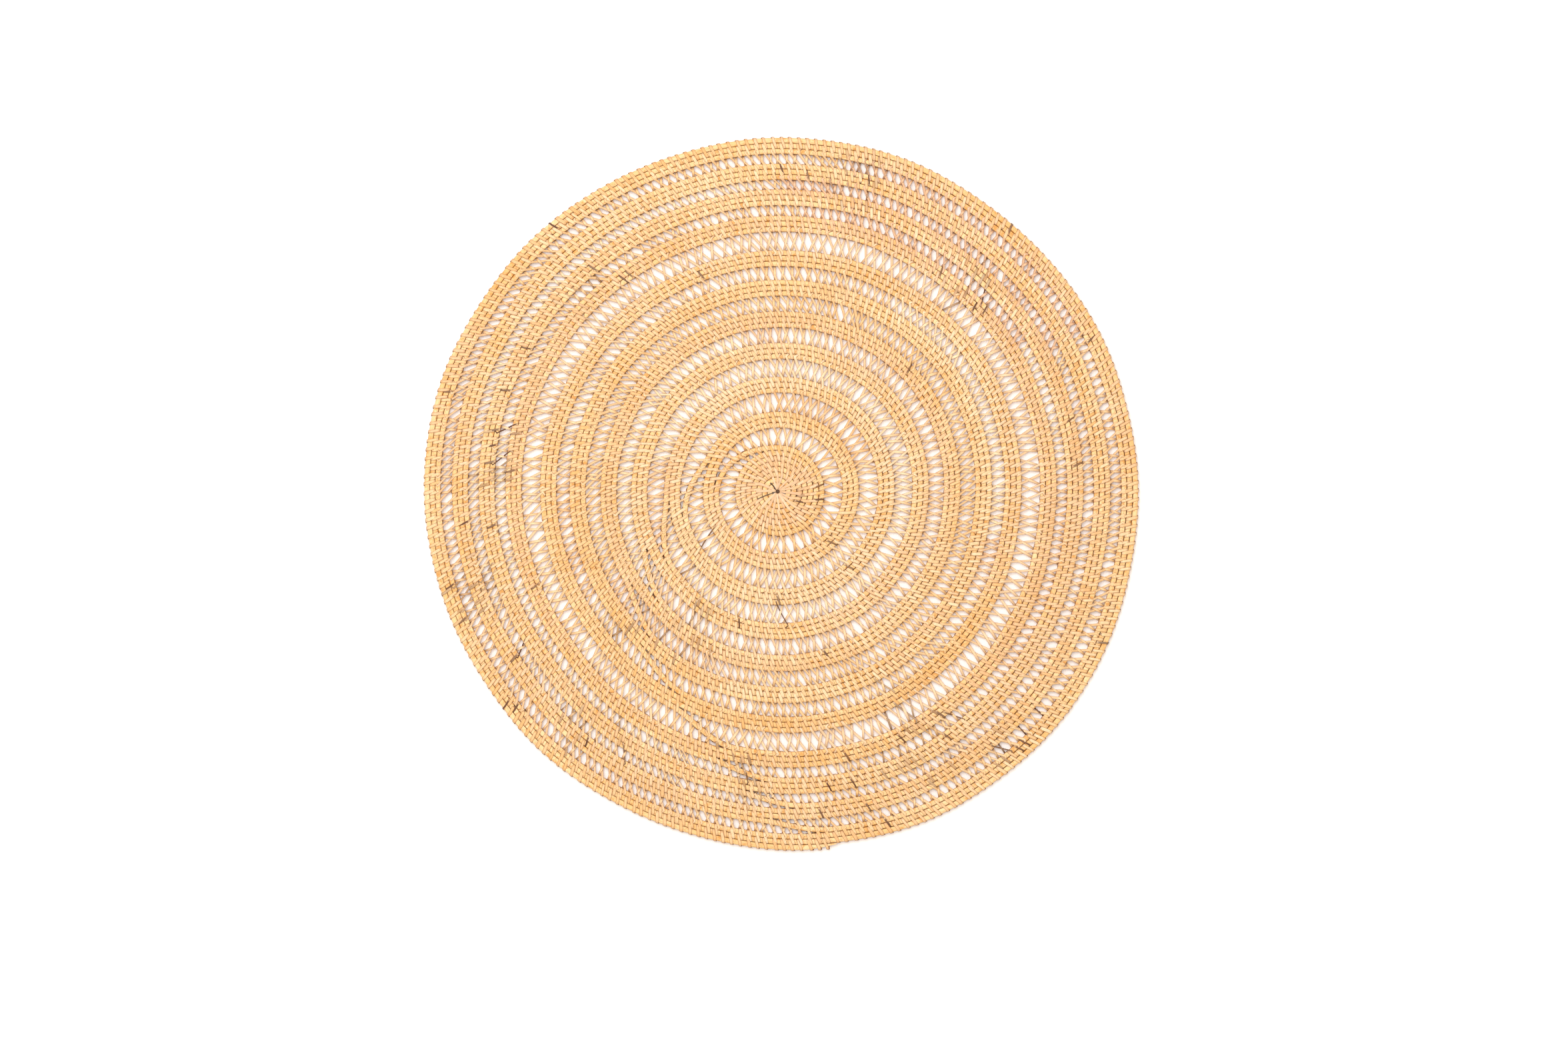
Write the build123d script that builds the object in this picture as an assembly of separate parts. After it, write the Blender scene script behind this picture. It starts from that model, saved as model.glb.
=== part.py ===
from build123d import *
import math
import os

# Coiled rattan mat. A round core rod runs anticlockwise outwards (seen from above) in one long spiral:
# a solid middle disc, then ten bands of three rows. Between the bands are open lanes, which the rod
# crosses on a slant. Cane strips bind the rows of a band, and lace each band to the one inside it.
# Millimetres and degrees. The mat lies on Z = 0, its face up along +Z, and the middle of its outline
# is over the origin.

# ---------------------------------------------------------------- driving dimensions

ROD_DIAMETER = 2.7
ROW_GAP = 0.2
CENTRE_HOLE_RADIUS = 1.3

CENTRE_TURNS = 7
ROWS_PER_BAND = 3
LANE_WIDTH = 8.0
LANE_SHARES = [1.165, 1.26, 1.19, 1.025, 1.03, 0.905, 1.245, 0.705, 0.67, 0.70]
CROSSING_ANGLES = [98, 150, 182, 199, 209, 227, 244, 255, 262, 267]
CROSSING_LENGTH = 36.0
ROD_END_ANGLE = 279.5
SCARF_LENGTH = 16.0
SCARF_TIP_SHARE = 0.15

DRIFT_SHARE = 0.0175
DRIFT_ANGLE = -18
OVAL_SHARE = 0.011
OVAL_ANGLE = -30

# How far the rows wander outwards, for one, two and three waves to the turn: the cosine's and the
# sine's amounts, each as three numbers that go with the share of the lanes crossed, its square and
# its cube.
WANDER = [
    ([2.64, -1.56, -0.61], [0.33, 1.75, -1.82]),
    ([-1.28, -4.49, 5.31], [7.78, -15.07, 7.48]),
    ([1.88, -6.47, 3.62], [0.05, 4.11, -4.29]),
]

STRIP_THICKNESS = 0.35
LACING_CLEARANCE = 0.02
LANE_STRIP_WIDTH = 1.4
LANE_CLEARANCE = 0.1
LANE_FOLDS = [12, 20, 32, 39, 55, 56, 57, 66, 78, 81]
BAND_STRIP_WIDTH = 2.8
BAND_INSET = 0.3
BAND_FOLDS = [12, 18, 23, 28, 33, 34, 40, 46, 48, 50]
BAND_END_FOLDS = 1.5
RIM_LAP_SHARE = 0.25
CENTRE_FOLDS = 12
DEEPEST_FOLD_SHARE = 0.8

STAR_STRIPS = 14
STAR_STRIP_WIDTH = 1.2
STAR_OUTER_RADIUS = 11.4
STAR_CLEARANCE = 0.3
KNOT_CLEARANCE = 0.15
KNOT_RISE = 0.4

STEPS_PER_TURN = 8
STEPS_PER_CROSSING = 5

# ---------------------------------------------------------------- worked-out sizes

LANE_WIDTHS = [LANE_WIDTH * share for share in LANE_SHARES]
LANES = len(LANE_WIDTHS)
START_RADIUS = CENTRE_HOLE_RADIUS + ROD_DIAMETER / 2
ROW_PITCH = ROD_DIAMETER + ROW_GAP
ROD_HEIGHT = STRIP_THICKNESS + LACING_CLEARANCE + ROD_DIAMETER / 2
TOP_STRIP_Z = ROD_HEIGHT + ROD_DIAMETER / 2 + LACING_CLEARANCE

# Turns are counted from the inner end of the coil, which lies on the +X side of the knot.
crossing_turns = [
    CENTRE_TURNS + ROWS_PER_BAND * lane + angle / 360
    for lane, angle in enumerate(CROSSING_ANGLES)
]
last_turn = CENTRE_TURNS + ROWS_PER_BAND * LANES + ROD_END_ANGLE / 360


def smooth_step(share):
    """Rises from 0 to 1 with level ends."""
    share = min(max(share, 0.0), 1.0)
    return share * share * (3 - 2 * share)


def plain_radius(turn, lanes_crossed, spans):
    """Distance from the knot before the hand-laid unevenness."""
    radius = START_RADIUS + ROW_PITCH * turn
    for lane in range(lanes_crossed):
        progress = (turn - crossing_turns[lane]) / spans[lane]
        radius += (LANE_WIDTHS[lane] - ROW_GAP) * smooth_step(progress)
    return radius


# The share of a turn that each crossing takes, from the inside outwards.
crossing_spans = []
for lane in range(LANES):
    start_radius = plain_radius(crossing_turns[lane], lane, crossing_spans)
    crossing_spans.append(CROSSING_LENGTH / (2 * math.pi * start_radius))


def lanes_crossed_share(turn):
    """The share of the lanes that the rod has crossed, rising smoothly over each crossing."""
    crossed = 0
    for lane in range(LANES):
        crossed += smooth_step((turn - crossing_turns[lane]) / crossing_spans[lane])
    return crossed / LANES


def wander(turn):
    """The rows' unevenness. It changes only across a lane, so the rows of a band keep together."""
    share = lanes_crossed_share(turn)
    total = 0
    for waves, (cosine_terms, sine_terms) in enumerate(WANDER, start=1):
        angle = 2 * math.pi * waves * turn
        for power, (cosine_term, sine_term) in enumerate(zip(cosine_terms, sine_terms), start=1):
            total += share ** power * (cosine_term * math.cos(angle) + sine_term * math.sin(angle))
    return total


def row_radius(turn):
    """Distance from the knot to the rod's centre line, with the coil's drift, oval and wander."""
    angle = 360 * turn
    drift = DRIFT_SHARE * math.cos(math.radians(angle - DRIFT_ANGLE))
    oval = OVAL_SHARE * math.cos(math.radians(2 * (angle - OVAL_ANGLE)))
    return plain_radius(turn, LANES, crossing_spans) * (1 + drift + oval) + wander(turn)


def polar_point(radius, turn, z):
    angle = 2 * math.pi * turn
    return Vector(radius * math.cos(angle), radius * math.sin(angle), z)


def rod_point(turn):
    return polar_point(row_radius(turn), turn, ROD_HEIGHT)


def rod_direction(turn):
    """The rod's direction, from two points a hair's breadth apart."""
    step = 1e-5
    return (rod_point(turn + step) - rod_point(turn - step)).normalized()


# ---------------------------------------------------------------- rods

def biarc(start, start_direction, end, end_direction):
    """Two arcs from start to end that are tangent to both directions and to each other."""
    chord = end - start
    total = start_direction + end_direction
    spread = 2 * (1 - start_direction.dot(end_direction))
    along = chord.dot(total)
    if spread < 1e-9:
        reach = chord.dot(chord) / (2 * along)
    else:
        reach = (math.sqrt(along * along + spread * chord.dot(chord)) - along) / spread
    first_corner = start + start_direction * reach
    second_corner = end - end_direction * reach
    middle = (first_corner + second_corner) * 0.5
    middle_direction = (second_corner - first_corner).normalized()
    return [
        Edge.make_tangent_arc(start, start_direction, middle),
        Edge.make_tangent_arc(middle, middle_direction, end),
    ]


def even_turns(first, last, longest_step):
    steps = max(1, math.ceil((last - first) / longest_step - 1e-6))
    return [first + (last - first) * step / steps for step in range(steps)]


def rod(stops):
    """A rod along the spiral. stops are pairs of a turn and the longest step from there on."""
    turns = []
    for (first, longest_step), (last, _) in zip(stops, stops[1:]):
        turns += even_turns(first, last, longest_step)
    turns.append(stops[-1][0])
    edges = []
    for first, last in zip(turns, turns[1:]):
        edges += biarc(rod_point(first), rod_direction(first), rod_point(last), rod_direction(last))
    start_plane = Plane(origin=rod_point(turns[0]), z_dir=rod_direction(turns[0]))
    return sweep(start_plane * Circle(ROD_DIAMETER / 2), path=Wire(edges))


def centre_coil():
    return rod([(0, 1 / STEPS_PER_TURN), (crossing_turns[0], 0)])


def band_rod(band):
    """The length of rod that crosses one lane and then makes the band outside it."""
    start = crossing_turns[band]
    landing = start + crossing_spans[band]
    end = crossing_turns[band + 1] if band + 1 < LANES else last_turn
    crossing_step = crossing_spans[band] / STEPS_PER_CROSSING
    return rod([(start, crossing_step), (landing, 1 / STEPS_PER_TURN), (end, 0)])


def scarf_cutter():
    """The wedge taken off the rod's outer end, so that it tapers in against the row inside it."""
    tip = rod_point(last_turn)
    along = rod_direction(last_turn)
    outwards = Vector(along.Y, -along.X, 0)
    inner_edge = tip - outwards * ROD_DIAMETER * (1 / 2 - SCARF_TIP_SHARE)
    outer_edge = tip - along * SCARF_LENGTH + outwards * ROD_DIAMETER / 2
    cut_direction = (inner_edge - outer_edge).normalized()
    cut_plane = Plane(origin=inner_edge, x_dir=cut_direction, z_dir=Vector(0, 0, 1))
    length = 4 * SCARF_LENGTH
    side = 3 * ROD_DIAMETER
    return cut_plane * Box(length, side, side, align=(Align.CENTER, Align.MAX, Align.CENTER))


# ---------------------------------------------------------------- lacing

def fold_depth(strip_width, span, half_pitch):
    """Radial depth of a zigzag of this strip width, never more than fits between its folds."""
    leg = math.hypot(span, half_pitch)
    return min(strip_width * leg / half_pitch, DEEPEST_FOLD_SHARE * span)


def zigzag(inner, outer, first, last, folds, strip_width, z, shift):
    """A flat strip that folds to and fro between two radii. inner and outer are functions of the
    turn. shift moves the folds along by a share of a fold."""
    pitch = (last - first) / folds
    outer_edge = []
    inner_edge = []
    for fold in range(folds):
        foot_turn = first + pitch * (fold + shift / 2)
        head_turn = foot_turn + pitch / 2
        foot = inner(foot_turn)
        head = outer(head_turn)
        half_pitch = math.pi * pitch * (foot + head) / 2
        depth = fold_depth(strip_width, head - foot, half_pitch)
        inner_edge.append(polar_point(foot, foot_turn, z))
        inner_edge.append(polar_point(head - depth, head_turn, z))
        outer_edge.append(polar_point(foot + depth, foot_turn, z))
        outer_edge.append(polar_point(head, head_turn, z))
    outline = outer_edge + inner_edge[::-1]
    return extrude(make_face(Polyline(*outline, close=True)), STRIP_THICKNESS, dir=(0, 0, 1))


def two_layers(inner, outer, first, last, folds, strip_width):
    """A strip on the upper face and one on the lower face, half a fold apart."""
    upper = zigzag(inner, outer, first, last, folds, strip_width, TOP_STRIP_Z, 0)
    lower = zigzag(inner, outer, first, last, folds, strip_width, 0, 1)
    return [upper, lower]


def lane_lacing(lane):
    """The strip that fills a lane, at mid height from the row inside it to the row outside it."""
    to_rod_side = ROD_DIAMETER / 2 + LANE_CLEARANCE
    half_crossing = crossing_spans[lane] / 2
    first = crossing_turns[lane] + half_crossing - 1
    last = crossing_turns[lane] + half_crossing - 1 / LANE_FOLDS[lane]
    strip = zigzag(
        lambda turn: row_radius(turn) + to_rod_side,
        lambda turn: row_radius(turn + 1) - to_rod_side,
        first, last, LANE_FOLDS[lane], LANE_STRIP_WIDTH, ROD_HEIGHT - STRIP_THICKNESS / 2, 0,
    )
    return [strip]


def band_lacing(band):
    """The strip that binds the rows of one band."""
    landing = crossing_turns[band] + crossing_spans[band]
    rows_between = ROWS_PER_BAND - 1
    if band + 1 < LANES:
        leaving = crossing_turns[band + 1] - rows_between
        outer_inset = -BAND_INSET
    else:
        leaving = last_turn - rows_between
        outer_inset = ROD_DIAMETER * RIM_LAP_SHARE
    last = min(landing + 1, leaving) - BAND_END_FOLDS / BAND_FOLDS[band]
    return two_layers(
        lambda turn: row_radius(turn) + BAND_INSET,
        lambda turn: row_radius(turn + rows_between) + outer_inset,
        landing, last, BAND_FOLDS[band], BAND_STRIP_WIDTH,
    )


def centre_lacing():
    """The strip that binds the outer rows of the middle disc, outside the starburst."""
    last = crossing_turns[0]
    return two_layers(
        lambda turn: STAR_OUTER_RADIUS + STAR_CLEARANCE,
        lambda turn: row_radius(turn) - BAND_INSET,
        last - 1, last - 1 / CENTRE_FOLDS, CENTRE_FOLDS, BAND_STRIP_WIDTH,
    )


# ---------------------------------------------------------------- middle

def starburst():
    """Radial strips on both faces, from beside the knot out to the centre lacing."""
    star_inner_radius = STAR_STRIP_WIDTH * STAR_STRIPS / (2 * math.pi) + STAR_CLEARANCE
    length = STAR_OUTER_RADIUS - star_inner_radius
    strip = Box(length, STAR_STRIP_WIDTH, STRIP_THICKNESS, align=(Align.MIN, Align.CENTER, Align.MIN))
    strips = []
    for layer_z in (0, TOP_STRIP_Z):
        for number in range(STAR_STRIPS):
            turned = Rot(0, 0, 360 * number / STAR_STRIPS)
            strips.append(turned * Pos(star_inner_radius, 0, layer_z) * strip)
    return strips


def centre_knot():
    """A round plug in the hole, flat below, with a low domed head above the coil."""
    top = TOP_STRIP_Z + STRIP_THICKNESS + KNOT_RISE
    plug = Cylinder(CENTRE_HOLE_RADIUS - KNOT_CLEARANCE, top, align=(Align.CENTER, Align.CENTER, Align.MIN))
    return fillet(plug.faces().sort_by(Axis.Z)[-1].edges(), KNOT_RISE)


# ---------------------------------------------------------------- assembly

nodes = {
    "centre_knot": [centre_knot()],
    "starburst_strips": starburst(),
    "centre_coil": [centre_coil()],
    "centre_lacing": centre_lacing(),
}
for number in range(LANES):
    name = f"{number + 1:02d}"
    core = band_rod(number)
    if number + 1 == LANES:
        core = core - scarf_cutter()
    nodes[f"band_{name}_rod"] = [core]
    nodes[f"band_{name}_lacing"] = band_lacing(number)
    nodes[f"lane_{name}_lacing"] = lane_lacing(number)

outline_box = Compound(children=[
    solid for parts in nodes.values() for part in parts for solid in part.solids()
]).bounding_box()
middle = outline_box.center()
to_origin = Pos(-middle.X, -middle.Y, 0)

os.makedirs("parts", exist_ok=True)
for name, parts in nodes.items():
    solids = [solid for part in parts for solid in (to_origin * part).solids()]
    export_step(Compound(children=solids), f"parts/{name}.step")

print("outline", outline_box.size, "knot at", -middle.X, -middle.Y)
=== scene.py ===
import math

import bpy
import numpy as np
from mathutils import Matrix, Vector


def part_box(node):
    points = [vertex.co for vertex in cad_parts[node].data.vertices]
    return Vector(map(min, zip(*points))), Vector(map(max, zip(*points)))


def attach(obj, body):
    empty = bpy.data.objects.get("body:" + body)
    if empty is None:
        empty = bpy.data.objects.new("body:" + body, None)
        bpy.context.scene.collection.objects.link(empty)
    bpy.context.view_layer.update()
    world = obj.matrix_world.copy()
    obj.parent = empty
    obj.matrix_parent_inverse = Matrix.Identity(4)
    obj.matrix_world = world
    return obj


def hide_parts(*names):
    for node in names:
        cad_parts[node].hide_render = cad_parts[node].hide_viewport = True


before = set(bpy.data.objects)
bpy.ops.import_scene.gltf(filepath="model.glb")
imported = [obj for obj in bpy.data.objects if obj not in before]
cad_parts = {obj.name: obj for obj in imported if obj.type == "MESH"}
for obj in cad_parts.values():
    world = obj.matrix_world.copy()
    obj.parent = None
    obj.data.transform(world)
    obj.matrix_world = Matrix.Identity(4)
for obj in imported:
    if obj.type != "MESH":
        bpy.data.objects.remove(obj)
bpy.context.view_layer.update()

# Coiled rattan mat: a bare core rod wound outwards from a knot, bound row to row with flat cane strip,
# and open lanes laced with crossed strands. Metres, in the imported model's frame.

RANDOM = np.random.default_rng(38)

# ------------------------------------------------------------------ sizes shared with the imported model

ROD_RADIUS = 0.00135
ROW_PITCH = 0.0029
START_RADIUS = 0.00265
CENTRE_TURNS = 7
ROWS_PER_BAND = 3
LANE_WIDTHS = 0.008 * np.array([1.165, 1.26, 1.19, 1.025, 1.03, 0.905, 1.245, 0.705, 0.67, 0.70])
CROSSING_ANGLES = np.array([98, 150, 182, 199, 209, 227, 244, 255, 262, 267])
CROSSING_LENGTH = 0.036
ROD_END_ANGLE = 279.5
DRIFT_SHARE, DRIFT_ANGLE = 0.0175, -18
OVAL_SHARE, OVAL_ANGLE = 0.011, -30
WANDER = 0.001 * np.array([
    [[2.64, -1.56, -0.61], [0.33, 1.75, -1.82]],
    [[-1.28, -4.49, 5.31], [7.78, -15.07, 7.48]],
    [[1.88, -6.47, 3.62], [0.05, 4.11, -4.29]],
])
LANES = len(LANE_WIDTHS)
TAU = 2 * math.pi

knot_low, knot_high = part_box("centre_knot")
coil_low, coil_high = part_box("centre_coil")
KNOT_X = (knot_low.x + knot_high.x) / 2
KNOT_Y = (knot_low.y + knot_high.y) / 2
ROD_Z = (coil_low.z + coil_high.z) / 2

# ------------------------------------------------------------------ sizes of the cane work

CENTRE_STRIP_WIDTH = 0.00155
BAND_STRIP_WIDTH = 0.00160
LANE_STRIP_WIDTH = 0.00128
STRIP_THICKNESS = 0.0003
WRAP_RADIUS = ROD_RADIUS + STRIP_THICKNESS / 2 + 0.00002
CENTRE_STRIPS_APART = 0.00190
BAND_STRIPS_APART = 0.0017
CENTRE_SLANT = math.radians(16)
BAND_SLANT = math.radians(21)
LACE_START = 2.9
FIRST_STITCHES = 22

# Along the rod, the wanted spacing of the stitches in the middle disc and in each band.
BAND_PITCHES = np.array([3.65, 3.75, 3.75, 4.05, 3.65, 4.1, 4.6, 4.3, 4.3, 4.45, 4.6]) * 0.001

# How far each lane's long strands lean on their way out, and the angle between long and short ones.
LANE_LEANS = np.radians([22, 23, 25, 31, 34, 34, 28, 36, 38, 37])
LEAN_SWING = math.radians(6)
LEAN_MOST_AT = math.radians(165)
STRAND_CROSSING = math.radians(40)

# Small waves of the rows round the mat, each with its height at the rim.
WAVE_COUNTS = np.array([5, 7, 11, 16])
WAVE_HEIGHTS = np.array([0.30, 0.28, 0.20, 0.12]) * 0.001
WAVE_PHASES = RANDOM.uniform(0, TAU, 4)
WAVE_TWIST = 18.0

# Strands of dark bark: angle in degrees, radius in millimetres, and how many degrees the strand leans.
DARK_STRANDS = np.array([
    (168, 154, -13), (306, 146, 24), (202, 182, 15), (159, 154, -3), (286, 176, 29), (280, 161, 29),
    (212, 165, 17), (305, 156, 26), (42, 148, 34), (171, 152, 30), (308, 155, 24), (150, 154, 16),
    (317, 42, 25), (167, 147, 37), (316, 182, 3), (53, 146, 6), (311, 182, -2), (288, 183, 38),
    (252, 71, 21), (187, 151, 18), (90, 174, 38), (26, 183, 41), (315, 55, 13), (43, 154, 42),
    (174, 151, 36), (319, 182, 2), (130, 154, 22), (163, 182, 13), (315, 185, 38), (311, 179, 12),
    (186, 166, 48), (74, 174, 12), (44, 95, 15), (296, 146, 14), (176, 141, 15), (84, 167, 31),
    (269, 57, 47), (219, 181, 25), (211, 160, 30), (202, 136, 31), (335, 190, 27), (273, 67, 23),
    (218, 182, 21), (14, 160, 24), (286, 89, 46), (5, 160, 25), (313, 186, 30), (278, 175, 50),
    (342, 14, 10), (125, 141, 29), (196, 180, -9), (173, 147, 39), (126, 141, 44), (43, 144, 14),
    (285, 160, 14), (284, 148, 39), (8, 23, 19), (345, 22, 20), (351, 22, 20), (215, 43, 13),
    (232, 165, 29), (263, 151, 14), (239, 163, 43), (109, 121, 24), (130, 186, 14), (48, 186, 18),
])

# Patches with many brown strands: angle in degrees, radius and spread in millimetres.
BROWN_PATCHES = np.array([
    (172, 150, 15), (297, 157, 16), (46, 151, 13), (312, 182, 11), (230, 163, 12), (224, 108, 14),
    (238, 84, 13), (262, 150, 12), (134, 148, 13), (75, 172, 12), (200, 172, 12), (350, 20, 7),
])

# Stretches of pinkish brown strand, in turns, across the three outer lanes.
BLUSHED_TURNS = np.array([(29.09, 29.24), (32.08, 32.25), (35.08, 35.22)])


# ------------------------------------------------------------------ the coil

def smooth_step(share):
    """3s^2 - 2s^3 with s held between 0 and 1."""
    share = np.clip(share, 0.0, 1.0)
    return share * share * (3 - 2 * share)


crossing_turns = CENTRE_TURNS + ROWS_PER_BAND * np.arange(LANES) + CROSSING_ANGLES / 360
last_turn = CENTRE_TURNS + ROWS_PER_BAND * LANES + ROD_END_ANGLE / 360
crossing_spans = np.zeros(LANES)


def plain_radius(turn, lanes_crossed):
    """Start radius, plus a row pitch for each turn, plus each lane's width ramped in over its crossing."""
    turn = np.asarray(turn, float)
    radius = START_RADIUS + ROW_PITCH * turn
    for lane in range(lanes_crossed):
        extra = LANE_WIDTHS[lane] - (ROW_PITCH - 2 * ROD_RADIUS)
        radius = radius + extra * smooth_step((turn - crossing_turns[lane]) / crossing_spans[lane])
    return radius


for crossed in range(LANES):
    start_radius = float(plain_radius(crossing_turns[crossed], crossed))
    crossing_spans[crossed] = CROSSING_LENGTH / (TAU * start_radius)


def wander(turn):
    """For each count of waves to the turn, a cosine and a sine, whose heights are cubic in the share
    of the lanes crossed so far."""
    crossed = sum(
        smooth_step((turn - crossing_turns[lane]) / crossing_spans[lane]) for lane in range(LANES)
    ) / LANES
    powers = np.stack([crossed, crossed ** 2, crossed ** 3], axis=-1)
    total = 0 * turn
    for waves, (cosine_terms, sine_terms) in enumerate(WANDER, start=1):
        angle = TAU * waves * turn
        total = total + np.cos(angle) * (powers @ cosine_terms) + np.sin(angle) * (powers @ sine_terms)
    return total


def row_radius(turn):
    """The plain radius, drifted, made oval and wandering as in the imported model, plus low waves that
    grow with the radius and turn slowly with it, so that neighbouring rows move together."""
    turn = np.asarray(turn, float)
    angle = TAU * turn
    drift = DRIFT_SHARE * np.cos(angle - math.radians(DRIFT_ANGLE))
    oval = OVAL_SHARE * np.cos(2 * (angle - math.radians(OVAL_ANGLE)))
    radius = plain_radius(turn, LANES) * (1 + drift + oval)
    share = radius / 0.19
    waves = np.sin(
        WAVE_COUNTS * angle[..., None] + WAVE_PHASES + WAVE_TWIST * radius[..., None]
    ) @ WAVE_HEIGHTS
    return radius + wander(turn) + waves * share


def polar_point(radius, turn, height):
    """Points at a radius and turn about the knot, at a height over the rods' middle plane."""
    angle = TAU * turn
    return np.stack([
        KNOT_X + radius * np.cos(angle),
        KNOT_Y + radius * np.sin(angle),
        ROD_Z + height + 0 * angle,
    ], axis=-1)


# ------------------------------------------------------------------ meshes

def make_piece(name, vertices, faces, material, node, uv=None, marks=None):
    """A mesh object from point and face arrays. uv is a pair for each point, and marks are named
    numbers for each point. Faces are quads, given as one array, plus any longer ones as lists."""
    mesh = bpy.data.meshes.new(name)
    mesh.from_pydata(vertices, [], faces)
    corner_points = np.zeros(len(mesh.loops), np.int32)
    mesh.loops.foreach_get("vertex_index", corner_points)
    if uv is not None:
        layer = mesh.uv_layers.new(name="strip")
        layer.data.foreach_set("uv", uv[corner_points].astype(np.float32).ravel())
    for label, values in (marks or {}).items():
        attribute = mesh.attributes.new(label, "FLOAT", "POINT")
        attribute.data.foreach_set("value", values.astype(np.float32))
    mesh.shade_smooth()
    mesh.set_sharp_from_angle(angle=math.radians(50))
    mesh.materials.append(material)
    piece = bpy.data.objects.new(name, mesh)
    bpy.context.scene.collection.objects.link(piece)
    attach(piece, "root")
    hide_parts(node)
    return piece


def ring_faces(rings, sides, start=0):
    """Quads between successive rings of points, and the two end faces."""
    ring = np.arange(rings - 1)[:, None] * sides
    side = np.arange(sides)[None, :]
    following = (side + 1) % sides
    quads = np.stack([
        ring + side, ring + following, ring + sides + following, ring + sides + side,
    ], axis=-1).reshape(-1, 4) + start
    first_end = [start + side for side in range(sides)][::-1]
    last_end = [start + (rings - 1) * sides + side for side in range(sides)]
    return quads.tolist() + [first_end, last_end]


def unit(vectors):
    """Vectors divided by their lengths."""
    return vectors / np.maximum(np.linalg.norm(vectors, axis=-1, keepdims=True), 1e-12)


def path_directions(path):
    """Unit tangents by central differences."""
    return unit(np.gradient(path, axis=0))


def along_lengths(path):
    """Distance run at each point of a path."""
    return np.concatenate([[0], np.cumsum(np.linalg.norm(np.diff(path, axis=0), axis=1))])


# ------------------------------------------------------------------ rods

ROD_SIDES = 16
ROD_STEP = 0.0026
SHORTEST_ROD_STEP = 0.0006
ROD_SQUARENESS = 0.55
ROD_WIDENING = 1.045
ROD_UNEVENNESS = 0.012
UNEVEN_LENGTHS = (0.0031, 0.0053)
SCARF_LENGTH = 0.016
SCARF_THINNING = 0.72


def rod_grid(first, last, taper_length=0.0):
    """A tube along the coil from one turn to another. The ring at each step is the circle across the
    path, squared a little by raising its sine and cosine to a power under one, with its radius uneven
    by a few hundredths of a millimetre. The outer end can be scarfed: over the taper length it thins
    from the outside, against the row inside it."""
    mean_radius = float(row_radius(np.array((first + last) / 2)))
    small_radius = float(row_radius(np.array(first)))
    steps = int((last - first) * TAU * mean_radius / min(ROD_STEP, max(small_radius / 6, SHORTEST_ROD_STEP)))
    turns = np.linspace(first, last, steps + 1)
    path = polar_point(row_radius(turns), turns, 0)
    lengths = along_lengths(path)
    tangent = path_directions(path)
    outward = np.stack([tangent[:, 1], -tangent[:, 0], 0 * tangent[:, 0]], axis=-1)
    short_wave, long_wave = UNEVEN_LENGTHS
    uneven = (np.sin(lengths / short_wave + first) + np.sin(lengths / long_wave + 2 * first)) * 0.5
    radius = ROD_RADIUS * (1 + ROD_UNEVENNESS * uneven)
    to_end = lengths[-1] - lengths
    tapered = np.clip(1 - to_end / taper_length, 0, 1) if taper_length else 0 * lengths
    thin = 1 - SCARF_THINNING * tapered
    angle = TAU * (np.arange(ROD_SIDES) + 0.5) / ROD_SIDES
    across = np.sign(np.cos(angle)) * np.abs(np.cos(angle)) ** ROD_SQUARENESS
    above = np.sign(np.sin(angle)) * np.abs(np.sin(angle)) ** ROD_SQUARENESS
    sideways = np.minimum(across * radius[:, None], radius[:, None] * (2 * thin[:, None] - 1))
    sideways = sideways * ROD_WIDENING
    upward = above * radius[:, None] * (0.75 + 0.25 * thin[:, None])
    rings = path[:, None] + outward[:, None] * sideways[..., None]
    rings = rings + np.array([0, 0, 1.0]) * upward[..., None]
    around = np.broadcast_to(np.arange(ROD_SIDES) / ROD_SIDES, (len(turns), ROD_SIDES))
    along = np.broadcast_to(lengths[:, None], (len(turns), ROD_SIDES))
    uv = np.stack([around, along], axis=-1).reshape(-1, 2)
    return rings.reshape(-1, 3), ring_faces(len(turns), ROD_SIDES), uv


def make_rod(name, node, first, last, material, taper_length=0.0):
    """One length of core rod between two turns, as a piece."""
    vertices, faces, uv = rod_grid(first, last, taper_length)
    return make_piece(name, vertices, faces, material, node, uv)


# ------------------------------------------------------------------ where the stitches are

LANE_BEGINS_AT_GAP = 0.0032
LANE_GROWTH = 0.0035
STITCH_JITTER = 0.00022
LANE_STITCH_SHARE = 0.12
RIM_STAND_OFF = 1.22


def row_gap(turn):
    """Distance from the row inside to the row at this turn, centre to centre."""
    return row_radius(turn) - row_radius(turn - 1)


def lane_share(turn):
    """0 where the rows lie side by side, 1 where an open lane is between them."""
    return smooth_step((row_gap(turn) - LANE_BEGINS_AT_GAP) / LANE_GROWTH)


def slant(turn):
    """How far a strand leans towards the winding direction on its way out: little in the middle disc
    and in a band, and across a lane by the lane's own lean, which swings a few degrees round the mat."""
    share = lane_share(turn)
    lane = np.clip(np.searchsorted(crossing_turns, turn) - 1, 0, LANES - 1)
    angle = TAU * turn
    lean = LANE_LEANS[lane] + LEAN_SWING * np.cos(angle - LEAN_MOST_AT)
    lean = lean + math.radians(2) * np.sin(4 * angle + turn)
    packed = np.where(turn < crossing_turns[0], CENTRE_SLANT, BAND_SLANT)
    return packed + share * (lean - packed)


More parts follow.
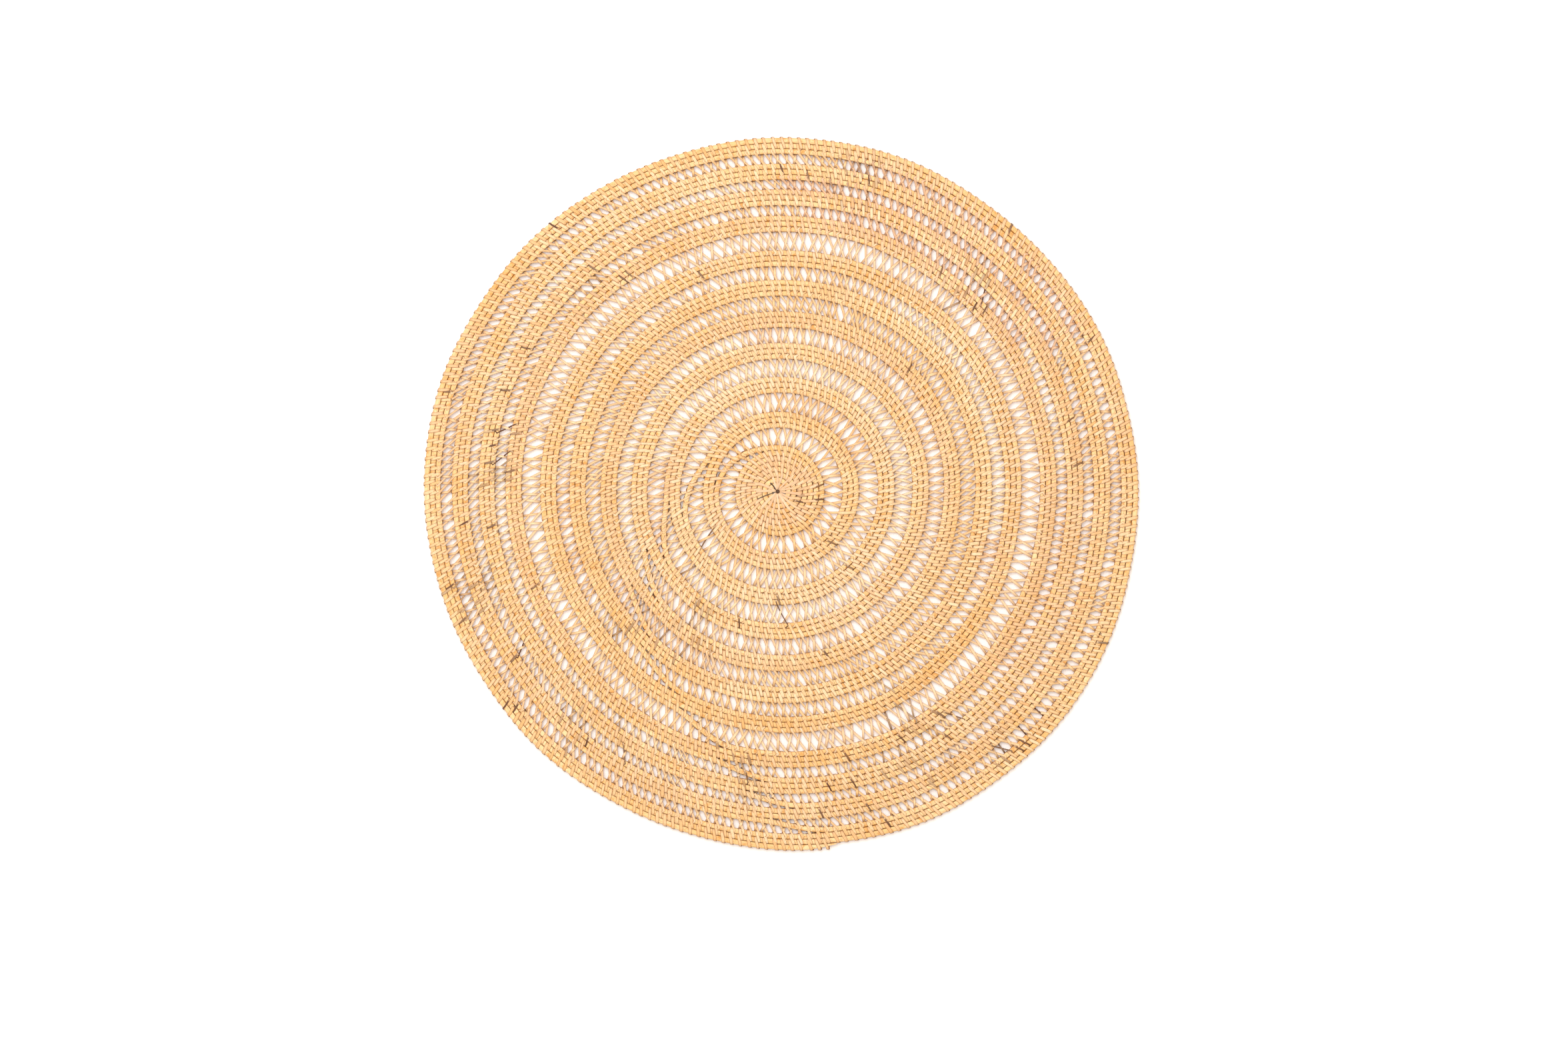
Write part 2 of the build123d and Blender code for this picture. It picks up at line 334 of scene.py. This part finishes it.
def next_row(turns):
    """Stitches of one turn, from those of the turn inside it. Each lies just behind its neighbour's
    outer end. In the bands a further one is put in wherever the number that the wanted spacing asks
    for has risen by one, and the spacing is then evened."""
    anchors = turns + 1
    apart = np.where(anchors < crossing_turns[0], CENTRE_STRIPS_APART, BAND_STRIPS_APART)
    shift = row_gap(anchors) * np.tan(slant(anchors)) - apart
    anchors = anchors + shift / (TAU * row_radius(anchors))
    following = np.append(anchors[1:], anchors[0] + 1)
    spacing = (following - anchors) * TAU * row_radius(anchors)
    wanted = BAND_PITCHES[np.searchsorted(crossing_turns, anchors)]
    lacking = np.cumsum((spacing / wanted - 1) * (lane_share(anchors) < 0.5))
    lacking = np.maximum.accumulate(np.maximum(lacking, 0))
    put_in = np.floor(lacking) > np.floor(np.concatenate([[0], lacking[:-1]]))
    anchors = np.sort(np.concatenate([anchors, ((anchors + following) / 2)[put_in]]))
    for _ in range(30):
        anchors[1:-1] = (anchors[:-2] + 2 * anchors[1:-1] + anchors[2:]) / 4
    return anchors


def all_stitches():
    """The turn of every stitch's outer end, from the middle to the rod's end."""
    row = LACE_START + np.arange(FIRST_STITCHES) / FIRST_STITCHES
    rows = [row]
    while rows[-1][-1] < last_turn:
        row = next_row(rows[-1])
        row = row[row > rows[-1][-1] + 0.3 * (row[1] - row[0])]
        rows.append(row)
    turns = np.concatenate(rows)
    jitter = RANDOM.normal(0, STITCH_JITTER, len(turns)) / (TAU * row_radius(turns))
    turns = np.sort(turns + jitter)
    return turns[turns < last_turn - 0.004]


# ------------------------------------------------------------------ the stitches' paths

def band_loop():
    """One turn of the strip round two rows that lie side by side, seen along the rods. Columns: share
    of the way from the inner row to the outer one, further distance out and height in wrap radii,
    where the point lies along the stitch (0 at the top of the inner row, 1 at the top of the outer),
    and how much painted shade it gets down there."""
    return np.array([
        [0.0, 0.00, 1.00, 0.0, 0.0],
        [0.5, 0.00, 0.95, 0.5, 0.1],
        [1.0, 0.00, 1.00, 1.0, 0.0],
        [1.0, 0.80, 0.84, 1.2, 0.3],
        [1.0, 1.00, 0.00, 1.4, 1.0],
        [1.0, 0.80, -0.84, 1.6, 0.3],
        [1.0, 0.00, -1.00, 1.8, 0.0],
        [0.5, 0.00, -0.95, 2.0, 0.1],
        [0.0, 0.00, -1.00, 2.2, 0.0],
        [0.0, -0.80, -0.84, 2.4, 0.3],
        [0.0, -1.00, 0.00, 2.6, 1.0],
        [0.0, -0.80, 0.84, 2.8, 0.3],
    ])


def lane_loop():
    """One stitch across a lane, in columns of share, further distance, height and painted shade. The
    long strand runs over both rows and is pulled down in the middle of the lane. It goes round the
    outer row and comes back below both, but over the long strand in the middle, and round the inner
    row to the next stitch."""
    long_strand = [
        [0.0, 0.00, 1.00, 0.0], [0.0, 0.75, 0.80, 0.1], [0.0, 1.40, 0.52, 0.15], [0.34, 0.00, 0.22, 0.1],
        [0.5, 0.00, 0.04, 0.2],
        [0.66, 0.00, 0.22, 0.1], [1.0, -1.40, 0.52, 0.15], [1.0, -0.75, 0.80, 0.1], [1.0, 0.00, 1.00, 0.0],
    ]
    outer_wrap = [[1.0, 0.80, 0.84, 0.3], [1.0, 1.00, 0.00, 1.0], [1.0, 0.80, -0.84, 0.3]]
    short_strand = [
        [1.0, 0.00, -1.00, 0.5], [1.0, -0.75, -0.74, 0.4], [1.0, -1.30, -0.30, 0.2], [0.62, 0.00, 0.22, 0.1],
        [0.5, 0.00, 0.34, 0.0],
        [0.38, 0.00, 0.22, 0.1], [0.0, 1.30, -0.30, 0.2], [0.0, 0.75, -0.74, 0.4], [0.0, 0.00, -1.00, 0.5],
    ]
    inner_wrap = [[0.0, -0.80, -0.84, 0.3], [0.0, -1.00, 0.00, 1.0], [0.0, -0.80, 0.84, 0.3]]
    return [np.array(part) for part in (long_strand, outer_wrap, short_strand, inner_wrap)]


def stitch_radius(turns, share, further):
    """Radius of a point between the row inside and the row at this turn. Round the outermost row the
    strips stand off the rod by a fifth of a wrap radius."""
    outer = row_radius(turns)
    inner = row_radius(turns - 1)
    at_rim = (turns > last_turn - 1) & (share > 0.9) & (further > 0)
    return inner + share * (outer - inner) + np.where(at_rim, RIM_STAND_OFF * further, further)


def band_paths(turns, following):
    """Points of each band stitch: forward along its slant on top, and back underneath to where the
    following stitch begins."""
    loop = band_loop()
    share, further, height, stage, dark = loop.T
    radius = row_radius(turns)[:, None]
    pitch = (following - turns)[:, None] * TAU * radius
    lean = (row_gap(turns) * np.tan(slant(turns)))[:, None]
    on_top = (stage - 1) * lean
    side_step = 0.22 * lean
    below_from = 4 * side_step
    below_to = pitch - lean - 4 * side_step
    below = below_from + (below_to - below_from) * (stage - 1.8) / 0.4
    wrap_out = (stage - 1) * 5 * side_step
    wrap_back = pitch - lean - (3.0 - stage) * 5 * side_step
    sideways = np.where(stage <= 1, on_top, np.where(stage < 1.8, wrap_out, wrap_back))
    sideways = np.where((stage >= 1.8) & (stage <= 2.2), below, sideways)
    at = turns[:, None] + sideways / (TAU * radius)
    points = polar_point(stitch_radius(at, share, further * WRAP_RADIUS), at, height * WRAP_RADIUS)
    return points, at, dark


def lane_paths(turns, following):
    """Points of each lane stitch. The long strand leans by the lane's slant, and the short one by the
    slant less a fixed angle, and they cross a little inside the middle of the lane."""
    long_strand, outer_wrap, short_strand, inner_wrap = lane_loop()
    radius = row_radius(turns)[:, None]
    gap = row_gap(turns)[:, None]
    pitch = (following - turns)[:, None] * TAU * radius
    count = len(turns)
    unevenness = np.convolve(RANDOM.normal(0, 1, count + 4), [0.25, 0.5, 0.8, 0.5, 0.25], "valid")
    lean = gap * np.tan(slant(turns) + math.radians(3.5) * unevenness)[:, None]
    back_slant = slant(turns) - STRAND_CROSSING + RANDOM.normal(0, math.radians(6), count)
    back_lean = gap * np.tan(back_slant)[:, None]
    cross = 0.47 + RANDOM.normal(0, 0.055, count)[:, None]
    wobble = RANDOM.normal(0, 0.00022, (count, 1))

    def over(part):
        return (part[:, 0] * gap + part[:, 1] * WRAP_RADIUS) / gap

    long_at = (over(long_strand) - 1) * lean
    short_at = (cross - 1) * lean + (over(short_strand) - cross) * back_lean + wobble
    steps = np.arange(1, 4) / 4
    outer_at = long_at[:, -1:] + (short_at[:, :1] - long_at[:, -1:]) * steps
    next_start = pitch - lean
    inner_at = short_at[:, -1:] + (next_start - short_at[:, -1:]) * steps
    sideways = np.concatenate([long_at, outer_at, short_at, inner_at], axis=1)
    shape = np.concatenate([long_strand, outer_wrap, short_strand, inner_wrap])
    at = turns[:, None] + sideways / (TAU * radius)
    points = polar_point(
        stitch_radius(at, shape[:, 0], shape[:, 1] * WRAP_RADIUS), at, shape[:, 2] * WRAP_RADIUS
    )
    return points, at, shape[:, 3]


# Points of a stitch's loop that belong to its long strand and the turn round the outer row.
LONG_STRAND_POINTS = 12
STITCHES_PER_STRIP = 30
STRIP_SECTION = np.array([[-0.5, -0.5], [0.5, -0.5], [0.5, 0.30], [0.0, 0.5], [-0.5, 0.30]])


def ribbon(points, turns, widths):
    """A strip with a low crowned section along a path: its face points to the left of the path, seen
    along the rods, and its width lies across the path and the face's direction."""
    tangent = path_directions(points)
    angle = TAU * turns
    outward = np.stack([np.cos(angle), np.sin(angle), 0 * angle], axis=-1)
    run_out = np.sum(tangent * outward, axis=-1)[:, None]
    face = unit(-tangent[:, 2:3] * outward + run_out * np.array([0, 0, 1.0]))
    across = unit(np.cross(face, tangent))
    offsets = across[:, None] * (STRIP_SECTION[:, 0] * widths[:, None])[..., None]
    offsets = offsets + face[:, None] * (STRIP_SECTION[:, 1] * STRIP_THICKNESS)[None, :, None]
    return points[:, None] + offsets


def strip_tones(count):
    """Tone and blush of each stitch. The strip changes every thirty stitches or so, and each length
    has a tone of its own, from which its stitches stray a little. Strands across a lane are paler."""
    change = RANDOM.random(count) < 1 / STITCHES_PER_STRIP
    change[0] = True
    length_number = np.cumsum(change) - 1
    lengths = length_number[-1] + 1
    tone = RANDOM.beta(1.6, 1.6, lengths)[length_number] * 0.6 + RANDOM.random(count) * 0.4
    blush = (RANDOM.random(lengths) ** 2.2)[length_number] * 0.8
    tone = np.where(lane_share(stitches) > 0.5, 0.3 + 0.7 * tone, tone)
    for first, last in BLUSHED_TURNS:
        blush = np.where((stitches > first) & (stitches < last), 1.4, blush)
    return tone, blush


def dark_strands():
    """How dark each stitch's long strand and short strand are. The stitch nearest each listed place
    is dark: its long strand where the listed lean is outwards, and else its short one."""
    radius = (row_radius(stitches) + row_radius(stitches - 1)) / 2
    middle = stitches - row_gap(stitches) * np.tan(slant(stitches)) / 2 / (TAU * radius)
    long_dark = np.zeros(len(stitches))
    short_dark = np.zeros(len(stitches))
    for angle, millimetres, lean in DARK_STRANDS:
        round_by = (middle - angle / 360 + 0.5) % 1 - 0.5
        nearest = np.argmin(np.hypot(radius - millimetres / 1000, round_by * TAU * radius))
        amount = RANDOM.uniform(0.75, 1.0)
        if lean < 8 and lane_share(stitches[nearest]) > LANE_STITCH_SHARE:
            short_dark[nearest] = amount
        else:
            long_dark[nearest] = amount
    for angle, millimetres, size in BROWN_PATCHES:
        round_by = (middle - angle / 360 + 0.5) % 1 - 0.5
        distance = np.hypot(radius - millimetres / 1000, round_by * TAU * radius)
        chance = 0.42 * np.exp(-(distance * 1000 / size) ** 2)
        for dark in (long_dark, short_dark):
            chosen = RANDOM.random(len(stitches)) < chance
            brown = chosen * RANDOM.uniform(0.15, 0.6, len(stitches))
            np.maximum(dark, brown, out=dark)
    return long_dark, short_dark


def lacing_piece(name, node, chosen, kind, material):
    """All the strips of one lacing node, each unbroken run of stitches as one ribbon."""
    runs = np.split(chosen, np.flatnonzero(np.diff(chosen) > 1) + 1)
    vertices, faces, uvs = [], [], []
    marks = {"tone": [], "blush": [], "bark": [], "painted_shade": []}
    start = 0
    sides = len(STRIP_SECTION)
    for run in runs:
        turns = stitches[run]
        following = stitches[np.minimum(run + 1, len(stitches) - 1)]
        points, at, dark = (lane_paths if kind == "lane" else band_paths)(turns, following)
        loop = points.shape[1]
        path = points.reshape(-1, 3)
        is_short = np.arange(loop) >= LONG_STRAND_POINTS
        bark = np.where(is_short, short_bark[run][:, None], long_bark[run][:, None])
        widths = stitch_width[run][:, None] * (1 - 0.5 * bark)
        rings = ribbon(path, at.reshape(-1), widths.reshape(-1))
        vertices.append(rings.reshape(-1, 3))
        faces += ring_faces(len(path), sides, start)
        start += len(path) * sides
        lengths = along_lengths(path)
        across = np.broadcast_to(STRIP_SECTION[:, 0] + 0.5, (len(path), sides))
        along = np.broadcast_to(lengths[:, None] + 0.37 * run[0], (len(path), sides))
        uvs.append(np.stack([across, along], axis=-1).reshape(-1, 2))
        # Painted shade along each stitch, from the loop's shade column.
        painted_shade = np.broadcast_to(dark, (len(run), loop))
        for label, values in (
            ("tone", np.repeat(stitch_tone[run], loop)), ("blush", np.repeat(stitch_blush[run], loop)),
            ("bark", bark.reshape(-1)), ("painted_shade", painted_shade.reshape(-1)),
        ):
            marks[label].append(np.repeat(values, sides))
    return make_piece(
        name, np.concatenate(vertices), faces, material, node,
        np.concatenate(uvs), {label: np.concatenate(values) for label, values in marks.items()},
    )


# ------------------------------------------------------------------ the middle

# The long strips from the knot: angle in degrees, reach in millimetres, width in millimetres, bark.
STAR_STRIPS = [
    (-8, 13.4, 1.3, 0.0), (-30, 9.6, 1.0, 0.0), (-45, 11.6, 1.1, 0.0), (-59, 11.9, 1.3, 0.0),
    (-70, 10.4, 0.9, 0.0), (-87, 11.0, 1.0, 0.0), (-104, 10.8, 1.2, 0.0), (-119, 11.2, 1.2, 0.0),
    (-135, 12.6, 1.4, 0.0), (-159, 12.0, 0.5, 0.9), (180, 12.2, 1.3, 0.0), (158, 12.0, 1.3, 0.0),
    (133, 6.4, 0.6, 1.0), (112, 8.4, 1.1, 0.0), (92, 10.0, 1.2, 0.0), (76, 10.2, 1.0, 0.15),
    (48, 11.4, 1.0, 0.0), (28, 12.8, 1.3, 0.0), (12, 9.0, 1.0, 0.0),
]


def star_strip(turn, reach, width, side):
    """One long strip from the knot outwards over the first rows. It climbs out of the hole, lies on
    the rods, and dips between two rows at its end. side is 1 on top and -1 underneath."""
    share = np.linspace(0, 1, 16)
    radius = 0.0006 + (reach - 0.0006) * share
    level = WRAP_RADIUS + 0.00006 - 0.00007 * np.cos(TAU * (radius - START_RADIUS) / ROW_PITCH + math.pi)
    height = level * smooth_step((radius - 0.0003) / 0.0012) * (1 - 0.9 * smooth_step((share - 0.92) / 0.08))
    bend = 0.00035 * np.sin(3 * share + 7 * turn)
    points = polar_point(radius, turn + bend / (TAU * radius), side * height)
    widths = width * (0.5 + 0.5 * smooth_step(share / 0.4))
    face = np.array([0, 0, float(side)])
    across = unit(np.cross(face, path_directions(points)))
    offsets = across[:, None] * (STRIP_SECTION[:, 0] * widths[:, None])[..., None]
    offsets = offsets + face * (STRIP_SECTION[:, 1] * STRIP_THICKNESS)[None, :, None]
    return points[:, None] + offsets, along_lengths(points)


def starburst_piece(material):
    """The long strips on both faces."""
    vertices, faces, uvs = [], [], []
    marks = {"tone": [], "bark": []}
    start = 0
    sides = len(STRIP_SECTION)
    for side in (1, -1):
        for degrees, reach, width, bark in STAR_STRIPS:
            rings, lengths = star_strip(degrees / 360, reach / 1000, width / 1000, side)
            count = len(lengths)
            vertices.append(rings.reshape(-1, 3))
            faces += ring_faces(count, sides, start)
            start += count * sides
            across = np.broadcast_to(STRIP_SECTION[:, 0] + 0.5, (count, sides))
            along = np.broadcast_to(lengths[:, None] + degrees / 100, (count, sides))
            uvs.append(np.stack([across, along], axis=-1).reshape(-1, 2))
            marks["tone"].append(np.full(count * sides, RANDOM.uniform(0.1, 0.9)))
            marks["bark"].append(np.full(count * sides, bark))
    return make_piece(
        "starburst_cane", np.concatenate(vertices), faces, material,
        "starburst_strips", np.concatenate(uvs),
        {label: np.concatenate(values) for label, values in marks.items()},
    )


def knot_piece(material):
    """The knot in the hole: a ball squashed a little, with ridges that wind round it like the turns
    of a tied strip, standing from the lower face to just over the upper one."""
    rings, sides = 26, 28
    polar = np.linspace(0.06, math.pi - 0.06, rings)[:, None]
    around = TAU * np.arange(sides)[None, :] / sides
    ridges = 1 + 0.10 * np.sin(2 * around + 5 * polar) + 0.05 * np.sin(5 * around - 3 * polar)
    width = 0.00105 * ridges
    height = (knot_high.z - knot_low.z) / 2
    vertices = np.stack([
        KNOT_X + width * np.sin(polar) ** 0.6 * np.cos(around),
        KNOT_Y + width * np.sin(polar) ** 0.6 * np.sin(around),
        (knot_high.z + knot_low.z) / 2 - height * np.cos(polar) + 0 * around,
    ], axis=-1).reshape(-1, 3)
    uv = np.stack(np.broadcast_arrays(around / TAU, polar * 0.001), axis=-1).reshape(-1, 2)
    return make_piece("knot", vertices, ring_faces(rings, sides), material, "centre_knot", uv)


# ------------------------------------------------------------------ finishes

def shader_tree(name):
    """A new material with its nodes and its one surface shader."""
    material = bpy.data.materials.new(name)
    material.use_nodes = True
    tree = material.node_tree
    return material, tree, tree.nodes["Principled BSDF"]


def add(tree, kind, links=None, **settings):
    """A node with its settings, and its inputs linked or set. Number and name keys both work."""
    node = tree.nodes.new(kind)
    for label, value in settings.items():
        setattr(node, label, value)
    for key, value in (links or {}).items():
        if isinstance(value, bpy.types.NodeSocket):
            tree.links.new(value, node.inputs[key])
        else:
            node.inputs[key].default_value = value
    return node


def blend_colour(tree, factor, first, second):
    """The first colour moved towards the second by the factor."""
    node = tree.nodes.new("ShaderNodeMix")
    node.data_type = "RGBA"
    for socket, value in ((node.inputs[0], factor), (node.inputs[6], first), (node.inputs[7], second)):
        if isinstance(value, bpy.types.NodeSocket):
            tree.links.new(value, socket)
        else:
            socket.default_value = value
    return node.outputs[2]


def mark(tree, label):
    """The named number stored on the piece's points."""
    return add(tree, "ShaderNodeAttribute", attribute_name=label).outputs["Fac"]


def linear(red, green, blue):
    """A display colour of 0 to 255 as linear light."""
    values = np.array([red, green, blue]) / 255
    values = np.where(values <= 0.04045, values / 12.92, ((values + 0.055) / 1.055) ** 2.4)
    return (*values.tolist(), 1.0)


def scale_uv(tree, across, along):
    """The strip's own coordinates, stretched so that noise on them runs along the grain."""
    uv = add(tree, "ShaderNodeUVMap", uv_map="strip").outputs["UV"]
    return add(tree, "ShaderNodeMapping", {"Vector": uv, "Scale": (across, along, 1)}).outputs["Vector"]


def noise(tree, vector, scale, detail):
    """Cloudy noise of 0 to 1 at the vector, finer with scale and richer with detail."""
    links = {"Vector": vector, "Scale": scale, "Detail": detail, "Roughness": 0.55}
    return add(tree, "ShaderNodeTexNoise", links).outputs["Fac"]


def spread(tree, value, low, high):
    """The value moved from low..high to 0..1."""
    links = {"Value": value, "From Min": low, "From Max": high}
    return add(tree, "ShaderNodeMapRange", links).outputs["Result"]


def add_bump(tree, shader, height, strength):
    """Fine surface relief from a height of 0 to 1, a tenth of a millimetre deep."""
    links = {"Height": height, "Strength": strength, "Distance": 0.0001}
    normal = add(tree, "ShaderNodeBump", links).outputs["Normal"]
    tree.links.new(normal, shader.inputs["Normal"])


# Brown of the painted shade deep between the rods.
PAINTED_SHADE_BROWN = linear(122, 56, 12)
# Brown of the strips' cut edges, also standing in for painted shadow lines along them.
EDGE_AND_SHADOW_BROWN = linear(146, 76, 20)


def paint_deep_shade(tree, colour, amount):
    """Painted shade for places deep between the rods: the colour made browner and darker."""
    return blend_colour(tree, amount, colour, blend_colour(tree, 0.9, colour, PAINTED_SHADE_BROWN))


def brown_edges_and_shadow_lines(tree, colour, begins):
    """The colour turned brown towards the strip's two cut edges, partly as the cane's own browning and
    partly as painted shadow lines along them: the distance from its middle line, as a share of its
    width, is moved from the given start to a half."""
    uv = add(tree, "ShaderNodeUVMap", uv_map="strip").outputs["UV"]
    across = add(tree, "ShaderNodeSeparateXYZ", {0: uv}).outputs["X"]
    from_middle = add(tree, "ShaderNodeMath", {0: across, 1: 0.5}, operation="SUBTRACT").outputs[0]
    from_middle = add(tree, "ShaderNodeMath", {0: from_middle}, operation="ABSOLUTE").outputs[0]
    edge = spread(tree, from_middle, begins, 0.5)
    return blend_colour(tree, edge, colour, blend_colour(tree, 0.9, colour, EDGE_AND_SHADOW_BROWN))


def cane_material():
    """Split cane: straw to cream with the stitch's tone, pinkish with its blush, fine lines along the
    grain, darker flecks, cut edges browned partly as their own colour and partly as painted shadow
    lines, brown painted shade in the depths, and dark bark where it was left on."""
    material, tree, shader = shader_tree("split_cane")
    grain = noise(tree, scale_uv(tree, 7, 160), 1.0, 4.0)
    flecks = noise(tree, scale_uv(tree, 3, 900), 1.0, 2.0)
    colour = blend_colour(tree, mark(tree, "tone"), linear(238, 180, 98), linear(253, 232, 194))
    blush = add(tree, "ShaderNodeMath", {0: mark(tree, "blush"), 1: 0.6}, operation="MULTIPLY").outputs[0]
    colour = blend_colour(tree, blush, colour, linear(232, 192, 160))
    lines = spread(tree, grain, 0.38, 0.72)
    colour = blend_colour(tree, lines, colour, blend_colour(tree, 0.5, colour, linear(206, 142, 78)))
    fleck = spread(tree, flecks, 0.66, 0.80)
    colour = blend_colour(tree, fleck, colour, blend_colour(tree, 0.6, colour, linear(160, 98, 52)))
    # Cut edges browned: partly the cane's own browning, partly painted shadow lines where the strip meets
    # the rod.
    colour = brown_edges_and_shadow_lines(tree, colour, 0.35)
    # Painted shade: browner and darker where the strip dips down between the rods.
    colour = paint_deep_shade(tree, colour, mark(tree, "painted_shade"))
    bark_tone = blend_colour(tree, grain, linear(40, 18, 8), linear(116, 60, 28))
    colour = blend_colour(tree, mark(tree, "bark"), colour, bark_tone)
    tree.links.new(colour, shader.inputs["Base Color"])
    shader.inputs["Roughness"].default_value = 0.45
    shader.inputs["Specular IOR Level"].default_value = 0.3
    add_bump(tree, shader, grain, 0.3)
    return material


def starburst_material():
    """The pinkish tan strips round the knot."""
    material, tree, shader = shader_tree("starburst_strip")
    grain = noise(tree, scale_uv(tree, 8, 200), 1.0, 4.0)
    colour = blend_colour(tree, mark(tree, "tone"), linear(226, 180, 138), linear(244, 212, 176))
    lines = spread(tree, grain, 0.40, 0.70)
    colour = blend_colour(tree, lines, colour, blend_colour(tree, 0.4, colour, linear(184, 128, 88)))
    bark_tone = blend_colour(tree, grain, linear(28, 14, 8), linear(84, 48, 28))
    colour = blend_colour(tree, mark(tree, "bark"), colour, bark_tone)
    tree.links.new(colour, shader.inputs["Base Color"])
    shader.inputs["Roughness"].default_value = 0.45
    shader.inputs["Specular IOR Level"].default_value = 0.3
    add_bump(tree, shader, grain, 0.3)
    return material


def rod_material():
    """Bare core rod: pores drawn out along it, slow changes of tone from place to place, and brown
    painted shade down between the rows, where the height from the rod's middle plane is small."""
    material, tree, shader = shader_tree("core_rod")
    place = add(tree, "ShaderNodeTexCoord").outputs["Object"]
    patches = noise(tree, place, 28.0, 3.0)
    small = noise(tree, place, 320.0, 2.0)
    grain = noise(tree, scale_uv(tree, 16, 220), 1.0, 4.0)
    patch = spread(tree, patches, 0.35, 0.68)
    colour = blend_colour(tree, patch, linear(250, 218, 166), linear(236, 188, 120))
    colour = blend_colour(tree, spread(tree, small, 0.50, 0.70), colour, linear(224, 162, 88))
    lines = spread(tree, grain, 0.45, 0.75)
    colour = blend_colour(tree, lines, colour, blend_colour(tree, 0.45, colour, linear(190, 128, 70)))
    # Painted shade: brown and darker low on the rods' sides between the rows, set by height alone.
    height = add(tree, "ShaderNodeSeparateXYZ", {0: place}).outputs["Z"]
    from_middle = add(tree, "ShaderNodeMath", {0: height, 1: ROD_Z}, operation="SUBTRACT").outputs[0]
    from_middle = add(tree, "ShaderNodeMath", {0: from_middle}, operation="ABSOLUTE").outputs[0]
    painted_shade = spread(tree, from_middle, 0.84 * ROD_RADIUS, 0.3 * ROD_RADIUS)
    colour = paint_deep_shade(tree, colour, painted_shade)
    tree.links.new(colour, shader.inputs["Base Color"])
    shader.inputs["Roughness"].default_value = 0.55
    shader.inputs["Specular IOR Level"].default_value = 0.25
    add_bump(tree, shader, grain, 0.3)
    return material


def knot_material():
    """Dark fibrous knot."""
    material, tree, shader = shader_tree("dark_knot")
    place = add(tree, "ShaderNodeTexCoord").outputs["Object"]
    fibres = noise(tree, place, 2600.0, 3.0)
    colour = blend_colour(tree, spread(tree, fibres, 0.35, 0.65), linear(44, 26, 18), linear(118, 84, 60))
    tree.links.new(colour, shader.inputs["Base Color"])
    shader.inputs["Roughness"].default_value = 0.75
    add_bump(tree, shader, fibres, 0.5)
    return material


def floor_material():
    """Matt near-white ground that glows a little."""
    material, tree, shader = shader_tree("pale_floor")
    place = add(tree, "ShaderNodeTexCoord").outputs["Object"]
    cloud = noise(tree, place, 3.0, 2.0)
    colour = blend_colour(tree, cloud, (0.94, 0.90, 0.89, 1), (0.96, 0.92, 0.91, 1))
    tree.links.new(colour, shader.inputs["Base Color"])
    tree.links.new(colour, shader.inputs["Emission Color"])
    shader.inputs["Emission Strength"].default_value = 0.12
    shader.inputs["Roughness"].default_value = 0.9
    shader.inputs["Specular IOR Level"].default_value = 0.1
    return material


# ------------------------------------------------------------------ making the mat

rod_finish = rod_material()
cane_finish = cane_material()

make_rod("centre_core", "centre_coil", 0, crossing_turns[0], rod_finish)
for number in range(LANES):
    last = crossing_turns[number + 1] if number + 1 < LANES else last_turn
    taper = SCARF_LENGTH if number + 1 == LANES else 0.0
    label = f"{number + 1:02d}"
    make_rod(f"band_{label}_core", f"band_{label}_rod", crossing_turns[number], last, rod_finish, taper)

stitches = all_stitches()
stitch_tone, stitch_blush = strip_tones(len(stitches))
long_bark, short_bark = dark_strands()
stitch_order = np.arange(len(stitches))
in_lane = lane_share(stitches) > LANE_STITCH_SHARE
rows_out = np.searchsorted(crossing_turns, stitches)
stitch_width = np.where(in_lane, LANE_STRIP_WIDTH, BAND_STRIP_WIDTH)
stitch_width = np.where((rows_out == 0) & ~in_lane, CENTRE_STRIP_WIDTH, stitch_width)
stitch_width = stitch_width * RANDOM.normal(1, 0.10, len(stitches)).clip(0.75, 1.25)

lacing_piece(
    "centre_stitches", "centre_lacing", stitch_order[(rows_out == 0) & ~in_lane], "band", cane_finish
)
for number in range(LANES):
    label = f"{number + 1:02d}"
    here = rows_out == number + 1
    lacing_piece(
        f"band_{label}_stitches", f"band_{label}_lacing", stitch_order[here & ~in_lane], "band", cane_finish
    )
    lacing_piece(
        f"lane_{label}_strands", f"lane_{label}_lacing", stitch_order[here & in_lane], "lane", cane_finish
    )

starburst_piece(starburst_material())
knot_piece(knot_material())

# ------------------------------------------------------------------ floor, light and camera

VIEW_WIDTH = 0.835
LENS = 85.0
SENSOR = 36.0
CAMERA_HEIGHT = VIEW_WIDTH * LENS / SENSOR + ROD_Z


def make_floor():
    """A wide flat square just under the mat."""
    size = 6.0
    mesh = bpy.data.meshes.new("floor")
    mesh.from_pydata(
        [(-size, -size, -0.0002), (size, -size, -0.0002), (size, size, -0.0002), (-size, size, -0.0002)],
        [], [(0, 1, 2, 3)],
    )
    mesh.materials.append(floor_material())
    floor = bpy.data.objects.new("floor", mesh)
    bpy.context.scene.collection.objects.link(floor)


def make_light(name, size, power, place, colour):
    """A square soft light at a place, turned to the middle of the mat."""
    data = bpy.data.lights.new(name, "AREA")
    data.shape = "SQUARE"
    data.size = size
    data.energy = power
    data.color = colour
    light = bpy.data.objects.new(name, data)
    bpy.context.scene.collection.objects.link(light)
    light.location = place
    light.rotation_euler = (-Vector(place)).to_track_quat("-Z", "Y").to_euler()


make_floor()
make_light("overhead", 1.3, 24.0, (-0.35, 0.55, 1.7), (1.0, 0.985, 0.965))

world = bpy.data.worlds.new("studio")
world.use_nodes = True
world.node_tree.nodes["Background"].inputs["Color"].default_value = (1.0, 0.94, 0.85, 1)
world.node_tree.nodes["Background"].inputs["Strength"].default_value = 0.78
bpy.context.scene.world = world
bpy.context.scene.view_settings.view_transform = "Standard"

camera_data = bpy.data.cameras.new("camera")
camera_data.lens = LENS
camera_data.sensor_width = SENSOR
camera = bpy.data.objects.new("camera", camera_data)
camera.location = (KNOT_X + 0.00334, KNOT_Y - 0.01647, CAMERA_HEIGHT)
bpy.context.scene.collection.objects.link(camera)
bpy.context.scene.camera = camera
